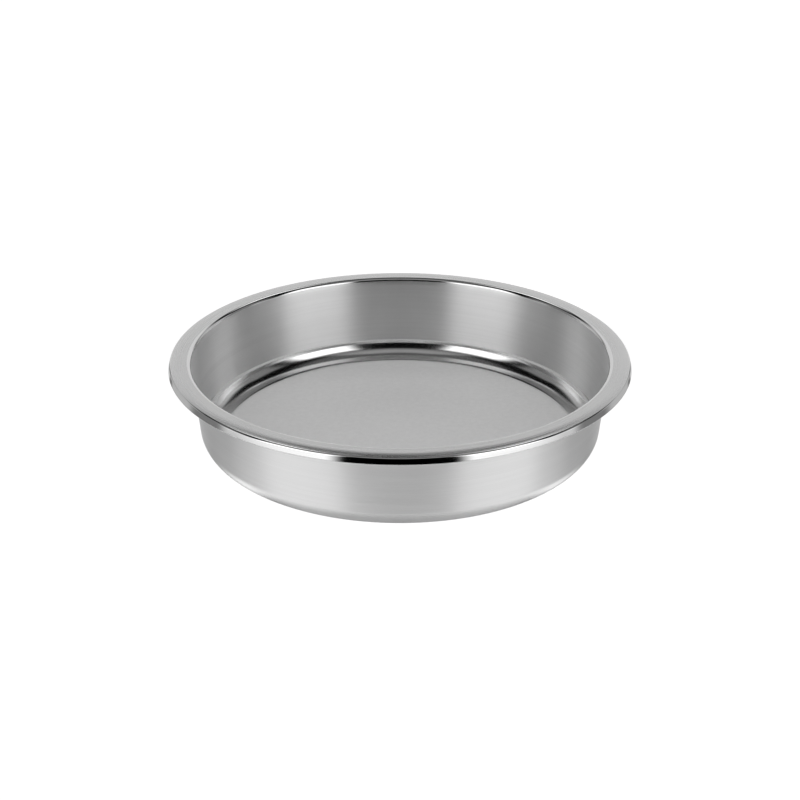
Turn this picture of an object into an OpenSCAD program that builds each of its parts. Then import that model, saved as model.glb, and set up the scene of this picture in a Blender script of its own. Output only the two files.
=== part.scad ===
// Round food pan with a flat rim, pressed from one sheet of stainless steel.
// Each module is one zone of that sheet, and each zone meets the next face to face.
// Millimetres, +Z up. The origin is the middle of the pan's underside.

/* [Body] */
// Overall height, from the underside to the top of the rim
pan_h = 65; // [50:0.5:100]
// Thickness of the sheet
sheet = 0.8; // [0.6:0.1:1.2]
// Taper of the side wall, in degrees from upright
wall_taper = 5.4; // [3:0.1:8]
// Inside radius of the rounded corner between floor and wall
corner_r = 14; // [8:0.5:20]

/* [Rim] */
// Outside diameter of the rim
rim_d = 335; // [280:1:400]
// Width of the flat ring on top of the rim
flat_w = 5.2; // [3:0.1:12]
// Radius of the crown, where the rim's top rolls over towards its edge
crown_r = 30; // [15:1:60]
// Slope that the crown reaches at its outer end, in degrees
crown_turn = 12; // [4:1:20]
// Outside radius of the bend where the rim turns down
edge_r = 1.6; // [1.2:0.1:2.4]
// Height of the turned-down lip, from the top of the rim to the lip's lower edge
lip_h = 5.3; // [4.5:0.1:8]
// Lean of the lip, in degrees from upright: its lower edge is the widest part of the rim
lip_lean = 15; // [0:1:25]
// Radius on top of the bend where the wall turns out into the rim
shoulder_r = 3; // [2:0.1:5]
// Radius of the gentle flare at the top of the wall, below that bend
flare_r = 20; // [10:1:40]
// Angle that the flare turns through, in degrees
flare_turn = 12; // [4:1:20]

/* [Hidden] */
$fn = 240;

satin = [0.74, 0.74, 0.73];
brushed = [0.66, 0.66, 0.65];
polished = [0.86, 0.86, 0.87];

// Straight steps that make up each of the rim's bends
bend_steps = 8;

rim_r = rim_d / 2;
wall_end = 180 - wall_taper;
flare_end = wall_end - flare_turn;
crown_end = 90 - crown_turn;

// A unit vector, or one of a given length, at an angle in the section plane,
// where x is the radius and y the height
function polar(angle, length = 1) = length * [cos(angle), sin(angle)];

// Centre of the round at the lip's lower edge
foot_r = sheet / 2;
foot_at = [rim_r - foot_r, pan_h - lip_h + foot_r];

// The centres of the bends, from the rim's edge inwards. Each bend runs smoothly into the next.
edge_y = pan_h - crown_r + (crown_r - edge_r) * sin(crown_end);
lip_len = (edge_y - foot_at.y + (edge_r - foot_r) * sin(lip_lean)) / cos(lip_lean);
edge_at = foot_at - polar(lip_lean, edge_r - foot_r) + polar(90 + lip_lean, lip_len);
crown_at = edge_at - polar(crown_end, crown_r - edge_r);
flat_inner_r = crown_at.x - flat_w;
shoulder_at = [flat_inner_r, pan_h - shoulder_r];
flare_at = shoulder_at - polar(flare_end, flare_r - shoulder_r);
// Upper end of the wall's straight inner face
wall_top = flare_at + polar(wall_end, flare_r);
// The corner's centre stands one corner radius above the floor, and as far in from the wall
corner_up = sheet + corner_r;
wall_len = (wall_top.y + corner_r * sin(wall_taper) - corner_up) / cos(wall_taper);
wall_foot = wall_top - polar(90 - wall_taper, wall_len);
floor_r = wall_foot.x - corner_r * cos(wall_taper);

// Points along an arc, from one angle to another
function arc(centre, r, from, to) =
    [for (i = [0 : bend_steps]) centre + polar(from + (to - from) * i / bend_steps, r)];

// Section of a bend: a strip of sheet whose outside radius is r
module bend(centre, r, from, to) {
    polygon(concat(arc(centre, r, from, to), arc(centre, r - sheet, to, from)));
}

// Section of the floor's corner: a strip of sheet on a true circle, cut out by a wedge
module corner() {
    outer_r = corner_r + sheet;
    intersection() {
        difference() {
            circle(outer_r);
            circle(corner_r);
        }
        polygon(2 * outer_r * [[0, 0], [0, -1], [cos(wall_taper), -sin(wall_taper)]]);
    }
}

module pan_floor() {
    color(satin) cylinder(h = sheet, r = floor_r);
}

module floor_corner() {
    color(polished) rotate_extrude()
        translate([floor_r, corner_up]) corner();
}

// The straight wall, and the flare at its top
module side_wall() {
    color(brushed) rotate_extrude() polygon(concat(
        [wall_foot],
        arc(flare_at, flare_r, wall_end, flare_end),
        arc(flare_at, flare_r - sheet, flare_end, wall_end),
        [wall_foot - polar(wall_end, sheet)]
    ));
}

module rim_shoulder() {
    color(polished) rotate_extrude() bend(shoulder_at, shoulder_r, 90, flare_end);
}

// The rim's flat ring, and the crown outside it
module rim_flat() {
    color(satin) rotate_extrude() polygon(concat(
        [[flat_inner_r, pan_h - sheet], [flat_inner_r, pan_h]],
        arc(crown_at, crown_r, 90, crown_end),
        arc(crown_at, crown_r - sheet, crown_end, 90)
    ));
}

module rim_bend() {
    color(polished) rotate_extrude() bend(edge_at, edge_r, lip_lean, crown_end);
}

// The lip, with the sheet's cut edge rounded over at its foot
module rim_lip() {
    color(polished) rotate_extrude() translate(foot_at) rotate(lip_lean) {
        circle(foot_r, $fn = 12);
        translate([-foot_r, 0]) square([sheet, lip_len]);
    }
}

pan_floor();
floor_corner();
side_wall();
rim_shoulder();
rim_flat();
rim_bend();
rim_lip();
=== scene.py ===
import math

import bpy
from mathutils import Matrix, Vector


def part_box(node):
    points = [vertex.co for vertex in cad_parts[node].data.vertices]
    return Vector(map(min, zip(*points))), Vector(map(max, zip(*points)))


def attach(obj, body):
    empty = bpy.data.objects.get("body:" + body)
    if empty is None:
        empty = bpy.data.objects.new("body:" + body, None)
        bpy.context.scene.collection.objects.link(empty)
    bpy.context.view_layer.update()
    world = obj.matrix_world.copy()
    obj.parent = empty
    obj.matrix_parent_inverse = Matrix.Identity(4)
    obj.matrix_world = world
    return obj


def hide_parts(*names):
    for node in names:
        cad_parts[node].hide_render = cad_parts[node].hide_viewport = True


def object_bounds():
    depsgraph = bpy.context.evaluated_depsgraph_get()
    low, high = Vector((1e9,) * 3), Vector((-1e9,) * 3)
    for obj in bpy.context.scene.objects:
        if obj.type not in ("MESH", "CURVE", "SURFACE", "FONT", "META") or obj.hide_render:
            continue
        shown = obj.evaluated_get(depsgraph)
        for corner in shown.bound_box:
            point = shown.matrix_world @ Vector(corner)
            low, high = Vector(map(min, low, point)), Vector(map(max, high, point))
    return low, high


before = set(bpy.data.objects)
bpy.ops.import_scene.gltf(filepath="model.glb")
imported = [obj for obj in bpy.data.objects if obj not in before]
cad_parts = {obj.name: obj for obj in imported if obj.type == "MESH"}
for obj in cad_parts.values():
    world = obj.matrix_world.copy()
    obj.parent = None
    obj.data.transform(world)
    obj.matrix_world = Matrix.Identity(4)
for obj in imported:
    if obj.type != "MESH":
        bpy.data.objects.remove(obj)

# A round stainless-steel food pan. Each zone of the sheet is a closed ring of its own, turned
# around the Z axis from a section in the plane of radius and height. Lengths are in metres.

cad_low, cad_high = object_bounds()

# ---------------------------------------------------------------- sizes

floor_low, floor_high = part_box("pan_floor")
lip_low, lip_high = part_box("rim_lip")

# From the CAD frame
SHEET = floor_high.z
FLOOR_R = floor_high.x
PAN_H = cad_high.z
RIM_R = lip_high.x
LIP_FOOT = lip_low.z

# The bends between those, as the CAD source has them
TAPER = math.radians(5.4)
CORNER_R = 0.014
FLARE_R = 0.020
FLARE_TURN = math.radians(12)
SHOULDER_R = 0.003
FLAT_W = 0.0052
CROWN_R = 0.030
CROWN_TURN = math.radians(12)
EDGE_R = 0.0016
LIP_LEAN = math.radians(15)

TURNS = 384  # faces around the pan
FLOOR_STEPS = 24
CORNER_STEPS = 36
WALL_STEPS = 16
BEND_STEPS = 16
GENTLE_STEPS = 8
FLAT_STEPS = 4
FOOT_STEPS = 10


# ---------------------------------------------------------------- sections and rings
# A run is a list of (radius, height, radius part of the normal, height part of the normal).

def polar(angle, length):
    return Vector((length * math.cos(angle), length * math.sin(angle)))


def arc(centre, radius, start, end, steps, outward=1):
    """A run along an arc. outward is -1 where the skin faces the arc's centre."""
    run = []
    for i in range(steps + 1):
        a = start + (end - start) * i / steps
        run.append((centre[0] + radius * math.cos(a), centre[1] + radius * math.sin(a),
                    outward * math.cos(a), outward * math.sin(a)))
    return run


def line(start, end, steps):
    """A straight run, whose normal is to the left of its direction."""
    dr, dz = end[0] - start[0], end[1] - start[1]
    length = math.hypot(dr, dz)
    return [(start[0] + dr * i / steps, start[1] + dz * i / steps, -dz / length, dr / length)
            for i in range(steps + 1)]


def underside(run):
    """The sheet's other skin, one thickness behind a run and in the opposite direction."""
    return [(r - SHEET * nr, z - SHEET * nz, -nr, -nz) for r, z, nr, nz in reversed(run)]


def section(top, foot=None):
    """The runs around one zone: its upper skin, its outer end, its underside and its inner end."""
    below = underside(top)
    runs = [top, foot or line(top[-1], below[0], 1), below]
    if below[-1][0] > 0:
        runs.append(line(below[-1], top[0], 1))
    return runs


def ring(name, node, runs, skin, back):
    """A closed piece turned from a section, with exact normals, which stands for one CAD node.
    skin is the material of the first two runs, and back of the underside."""
    sides = [(a, b) for run in runs for a, b in zip(run, run[1:])]
    skin_sides = len(runs[0]) + len(runs[1]) - 2
    turn = 2 * math.pi / TURNS
    turns = [(math.cos(turn * k), math.sin(turn * k)) for k in range(TURNS)]
    vertices, first = [], []
    for (r, z, _, _), _ in sides:
        first.append(len(vertices))
        vertices.extend((r * c, r * s, z) for c, s in (turns if r > 0 else turns[:1]))
    if runs[-1][-1][0] == 0:
        sides.append(None)
        first.append(len(vertices))
        vertices.append((0, 0, runs[-1][-1][1]))
    faces, normals, slots = [], [], []
    for i, side in enumerate(sides):
        if side is None:
            continue
        j = (i + 1) % len(sides)
        a, b = side
        for k in range(TURNS):
            m = (k + 1) % TURNS
            corners = [(i, a, k), (j, b, k), (j, b, m), (i, a, m)]
            if a[0] == 0:
                corners.pop()
            elif b[0] == 0:
                corners.pop(2)
            faces.append([first[p] + (q if n[0] > 0 else 0) for p, n, q in corners])
            normals.extend((n[2] * turns[q][0], n[2] * turns[q][1], n[3]) for _, n, q in corners)
            slots.append(0 if i < skin_sides else 1)
    mesh = bpy.data.meshes.new(name)
    mesh.from_pydata(vertices, [], faces)
    mesh.polygons.foreach_set("use_smooth", [True] * len(faces))
    mesh.normals_split_custom_set(normals)
    mesh.materials.append(skin)
    mesh.materials.append(back)
    mesh.polygons.foreach_set("material_index", slots)
    piece = bpy.data.objects.new(name, mesh)
    bpy.context.scene.collection.objects.link(piece)
    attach(piece, "root")
    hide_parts(node)
    return piece


# ---------------------------------------------------------------- materials

BRUSH_TURN = 0.25  # a quarter turn: the brushing runs around the pan
# Changes of noise per metre, in the fine and the broad marks of each finish and in slow patches
GRAIN_FINE, GRAIN_BROAD = 1400, 260
LINES_FINE, LINES_FINE_ALONG = 2600, 9
LINES_BROAD, LINES_BROAD_ALONG = 420, 4
PATCHES = 16
FINE_SHARE = 0.6  # of the fine marks against the broad ones
TONE_BELOW, TONE_ABOVE = 0.06, 0.02  # how far the marks darken and lighten the grey


def new_material(name):
    """A material with its Principled shader, and a function that adds a node to it."""
    material = bpy.data.materials.new(name)
    material.use_nodes = True
    tree = material.node_tree
    return material, tree.nodes["Principled BSDF"], adder(tree)


def adder(tree):
    """A function that adds a node to a tree. Its keywords set or link inputs, by name or by number."""
    def add(kind, inputs=(), **settings):
        node = tree.nodes.new(kind)
        for key, value in settings.items():
            setattr(node, key, value)
        for key, value in dict(inputs).items():
            if isinstance(value, bpy.types.NodeSocket):
                tree.links.new(value, node.inputs[key])
            else:
                node.inputs[key].default_value = value
        return node.outputs[0]

    return add


def maths(add, operation, *values):
    return add("ShaderNodeMath", dict(enumerate(values)), operation=operation)


def noise(add, vector, scale, detail):
    return add("ShaderNodeTexNoise", {"Vector": vector, "Scale": scale, "Detail": detail})


def between(add, value, low, high):
    """Stretches the middle of a noise, 0.3 to 0.7, over low to high."""
    return add("ShaderNodeMapRange", {0: value, 1: 0.3, 2: 0.7, 3: low, 4: high})


def around(add, place, along, across):
    """A vector for lines that run around the pan: along and across are changes per metre."""
    flat = add("ShaderNodeVectorMath", {0: place, 1: (1, 1, 0)}, operation="MULTIPLY")
    node = add("ShaderNodeVectorMath", {0: flat}, operation="LENGTH").node
    height = add("ShaderNodeSeparateXYZ", {0: place}).node.outputs["Z"]
    path = maths(add, "ADD", node.outputs["Value"], height)
    lines = add("ShaderNodeCombineXYZ", {2: maths(add, "MULTIPLY", path, across)})
    return add("ShaderNodeVectorMath", {0: flat, 1: (along, along, 0), 2: lines}, operation="MULTIPLY_ADD")


def steel(name, grey, roughness, anisotropy, line, cloud, relief, grain=False):
    """Bare stainless steel. line and cloud say how far the fine lines (or the fine grain) and the
    slow patches change its roughness, and relief how deep the lines or the grain are, in metres."""
    material, shader, add = new_material(name)
    place = add("ShaderNodeTexCoord").node.outputs["Object"]
    if grain:
        fine = noise(add, place, GRAIN_FINE, 2)
        broad = noise(add, place, GRAIN_BROAD, 2)
    else:
        fine = noise(add, around(add, place, LINES_FINE_ALONG, LINES_FINE), 1, 2)
        broad = noise(add, around(add, place, LINES_BROAD_ALONG, LINES_BROAD), 1, 3)
    slow = noise(add, place, PATCHES, 2)
    fine_part = maths(add, "MULTIPLY", fine, FINE_SHARE)
    lines = maths(add, "MULTIPLY_ADD", broad, 1 - FINE_SHARE, fine_part)
    patches = between(add, slow, -cloud, cloud)
    rough = maths(add, "ADD", between(add, lines, roughness - line, roughness + line), patches)
    tone = between(add, lines, grey - TONE_BELOW, grey + TONE_ABOVE)
    tree = material.node_tree
    tree.links.new(rough, shader.inputs["Roughness"])
    colour = add("ShaderNodeCombineColor", {0: tone, 1: tone, 2: tone})
    tree.links.new(colour, shader.inputs["Base Color"])
    bump = add("ShaderNodeBump", {"Height": lines, "Distance": relief, "Strength": 1})
    tree.links.new(bump, shader.inputs["Normal"])
    shader.inputs["Metallic"].default_value = 1
    shader.inputs["Anisotropic"].default_value = anisotropy
    shader.inputs["Anisotropic Rotation"].default_value = BRUSH_TURN
    return material


satin_floor = steel("satin_floor", 0.84, 0.75, 0, 0.03, 0.01, 0.000004, grain=True)
satin_rim = steel("satin_rim", 0.76, 0.25, 0, 0.05, 0.02, 0.000003)
brushed_wall = steel("brushed_wall", 0.89, 0.40, 0.95, 0.05, 0.02, 0.000006)
brushed_back = steel("brushed_back", 0.89, 0.35, 0.80, 0.04, 0.02, 0.000004)
polished = steel("polished", 0.86, 0.06, 0, 0.02, 0.01, 0.0000004)
buffed = steel("buffed", 0.86, 0.15, 0, 0.02, 0.01, 0.0000008)


# ---------------------------------------------------------------- the pan

def build_pan():
    quarter = math.pi / 2
    wall_end = math.pi - TAPER
    flare_end = wall_end - FLARE_TURN
    crown_end = quarter - CROWN_TURN
    foot_r = SHEET / 2
    foot_at = Vector((RIM_R - foot_r, LIP_FOOT + foot_r))
    edge_y = PAN_H - CROWN_R + (CROWN_R - EDGE_R) * math.sin(crown_end)
    lip_rise = edge_y - foot_at.y + (EDGE_R - foot_r) * math.sin(LIP_LEAN)
    lip_up = polar(quarter + LIP_LEAN, lip_rise / math.cos(LIP_LEAN))
    edge_at = foot_at - polar(LIP_LEAN, EDGE_R - foot_r) + lip_up
    crown_at = edge_at - polar(crown_end, CROWN_R - EDGE_R)
    shoulder_at = Vector((crown_at.x - FLAT_W, PAN_H - SHOULDER_R))
    flare_at = shoulder_at - polar(flare_end, FLARE_R - SHOULDER_R)
    corner_at = (FLOOR_R, SHEET + CORNER_R)

    floor = line((0, SHEET), (FLOOR_R, SHEET), FLOOR_STEPS)
    corner = arc(corner_at, CORNER_R, -quarter, -TAPER, CORNER_STEPS, outward=-1)
    flare = arc(flare_at, FLARE_R, wall_end, flare_end, GENTLE_STEPS)
    wall = line(corner[-1], flare[0], WALL_STEPS) + flare[1:]
    shoulder = arc(shoulder_at, SHOULDER_R, flare_end, quarter, BEND_STEPS)
    crown = arc(crown_at, CROWN_R, quarter, crown_end, GENTLE_STEPS)
    flat = line(shoulder[-1], crown[0], FLAT_STEPS) + crown[1:]
    bend = arc(edge_at, EDGE_R, crown_end, LIP_LEAN, BEND_STEPS)
    lip = line(bend[-1], foot_at + polar(LIP_LEAN, foot_r), FLAT_STEPS)
    foot = arc(foot_at, foot_r, LIP_LEAN, LIP_LEAN - math.pi, FOOT_STEPS)

    ring("floor_disc", "pan_floor", section(floor), satin_floor, brushed_back)
    ring("corner_ring", "floor_corner", section(corner), buffed, brushed_back)
    ring("wall_ring", "side_wall", section(wall), brushed_wall, brushed_back)
    ring("shoulder_ring", "rim_shoulder", section(shoulder), polished, brushed_back)
    ring("flat_ring", "rim_flat", section(flat), satin_rim, brushed_back)
    ring("bend_ring", "rim_bend", section(bend), polished, brushed_back)
    ring("lip_ring", "rim_lip", section(lip, foot), polished, brushed_back)


build_pan()


# ---------------------------------------------------------------- camera

CAMERA_PITCH = math.radians(25.2)
CAMERA_LENS = 71.3
CAMERA_DISTANCE = 1.169
AIM = Vector((0, 0, 0.412 * PAN_H))

camera_data = bpy.data.cameras.new("camera")
camera_data.lens = CAMERA_LENS
camera_data.sensor_width = 36
camera = bpy.data.objects.new("camera", camera_data)
back = Vector((0, -math.cos(CAMERA_PITCH), math.sin(CAMERA_PITCH)))
camera.location = AIM + CAMERA_DISTANCE * back
camera.rotation_euler = back.to_track_quat("Z", "Y").to_euler()
bpy.context.scene.collection.objects.link(camera)
bpy.context.scene.camera = camera
bpy.context.scene.view_settings.view_transform = "Standard"

# ---------------------------------------------------------------- studio light and floor
# A plain studio of soft panels, the same to the left and to the right. Each panel has: how far
# round it stands, in degrees from the camera's side; half its width; its lower and upper edge
# above the horizon; its brightness.

SOFT_EDGE = 5
MIDDLE_PANELS = {
    "table": (0, 145, -50, -35, 1.5),
    "under": (0, 180, -90, -55, 0.4),
    "back": (180, 30, -35, 35, 0.7),
    "front_ceiling": (0, 60, 50, 80, 0.2),
    "ceiling": (180, 180, 60, 90, 0.1),
}
SIDE_PANELS = {
    "box": (50, 20, 5, 45, 1.5),
    "strip": (60, 30, -5, 10, 1.1),
    "low_card": (55, 25, -30, -15, 0.8),
    "side_fill": (100, 15, -20, 40, 0.2),
    "rear_card": (130, 15, -30, 30, 0.5),
    "rear_high": (155, 10, 45, 60, 2.0),
}
SPOT_HEIGHT = 1.6
SPOT_POWER = 35
SPOT_BLEND = 0.02
SPOT_SIZE = 0.002
WHITE_FLOOR_HALF = 40 * RIM_R
WHITE_FLOOR_GREY = 0.45
WHITE_FLOOR_GLOW = 0.90


def build_studio():
    """The light, as a function of direction, and white where the camera looks past the floor."""
    world = bpy.data.worlds.new("studio")
    world.use_nodes = True
    add = adder(world.node_tree)
    background = world.node_tree.nodes["Background"]
    direction = add("ShaderNodeTexCoord").node.outputs["Generated"]
    height = add("ShaderNodeSeparateXYZ", {0: direction}).node.outputs["Z"]
    flat = add("ShaderNodeVectorMath", {0: direction, 1: (1, 1, 0)}, operation="MULTIPLY")
    level = add("ShaderNodeVectorMath", {0: flat}, operation="NORMALIZE")
    elevation = maths(add, "DEGREES", maths(add, "ARCSINE", height))

    def soft(value, start, end, high):
        """0 at start, high at end."""
        return add("ShaderNodeMapRange", {0: value, 1: start, 2: end, 3: 0, 4: high},
                   interpolation_type="SMOOTHSTEP")

    panels = list(MIDDLE_PANELS.values())
    for way, *rest in SIDE_PANELS.values():
        panels += [(way, *rest), (-way, *rest)]
    light = 0
    for way, half, low, high, brightness in panels:
        a = math.radians(way)
        towards = (math.sin(a), -math.cos(a), 0)
        dot = add("ShaderNodeVectorMath", {0: level, 1: towards}, operation="DOT_PRODUCT").node
        angle = maths(add, "DEGREES", maths(add, "ARCCOSINE", dot.outputs["Value"]))
        panel = soft(angle, half + SOFT_EDGE, half - SOFT_EDGE, brightness)
        panel = maths(add, "MULTIPLY", panel, soft(elevation, low - SOFT_EDGE, low + SOFT_EDGE, 1))
        panel = maths(add, "MULTIPLY", panel, soft(elevation, high + SOFT_EDGE, high - SOFT_EDGE, 1))
        light = maths(add, "ADD", light, panel)
    seen = add("ShaderNodeLightPath").node.outputs["Is Camera Ray"]
    light = maths(add, "MAXIMUM", light, seen)
    world.node_tree.links.new(light, background.inputs["Strength"])
    background.inputs["Color"].default_value = (1, 1, 1, 1)
    bpy.context.scene.world = world


def build_floor():
    """A plain white floor with no reflection of its own in the pan, and clear from below."""
    half = WHITE_FLOOR_HALF
    corners = [(-half, -half, 0), (half, -half, 0), (half, half, 0), (-half, half, 0)]
    mesh = bpy.data.meshes.new("stage_floor")
    mesh.from_pydata(corners, [], [(0, 1, 2, 3)])
    material, shader, add = new_material("white_floor")
    shader.inputs["Base Color"].default_value = (WHITE_FLOOR_GREY, WHITE_FLOOR_GREY, WHITE_FLOOR_GREY, 1)
    shader.inputs["Roughness"].default_value = 1
    shader.inputs["Specular IOR Level"].default_value = 0
    shader.inputs["Emission Color"].default_value = (1, 1, 1, 1)
    shader.inputs["Emission Strength"].default_value = WHITE_FLOOR_GLOW
    below = add("ShaderNodeNewGeometry").node.outputs["Backfacing"]
    clear = add("ShaderNodeBsdfTransparent")
    shown = add("ShaderNodeMixShader", {0: below, 1: shader.outputs[0], 2: clear})
    material.node_tree.links.new(shown, material.node_tree.nodes["Material Output"].inputs["Surface"])
    mesh.materials.append(material)
    floor = bpy.data.objects.new("stage_floor", mesh)
    bpy.context.scene.collection.objects.link(floor)
    floor.visible_diffuse = False
    floor.visible_glossy = False
    floor.visible_shadow = False


def build_spot():
    """A round spot straight above the pan, as wide as its floor, which evens out the floor."""
    data = bpy.data.lights.new("floor_spot", "SPOT")
    data.energy = SPOT_POWER
    data.spot_size = 2 * math.atan(FLOOR_R / SPOT_HEIGHT)
    data.spot_blend = SPOT_BLEND
    data.shadow_soft_size = SPOT_SIZE
    spot = bpy.data.objects.new("floor_spot", data)
    spot.location = (0, 0, SPOT_HEIGHT)
    bpy.context.scene.collection.objects.link(spot)


build_studio()
build_floor()
build_spot()
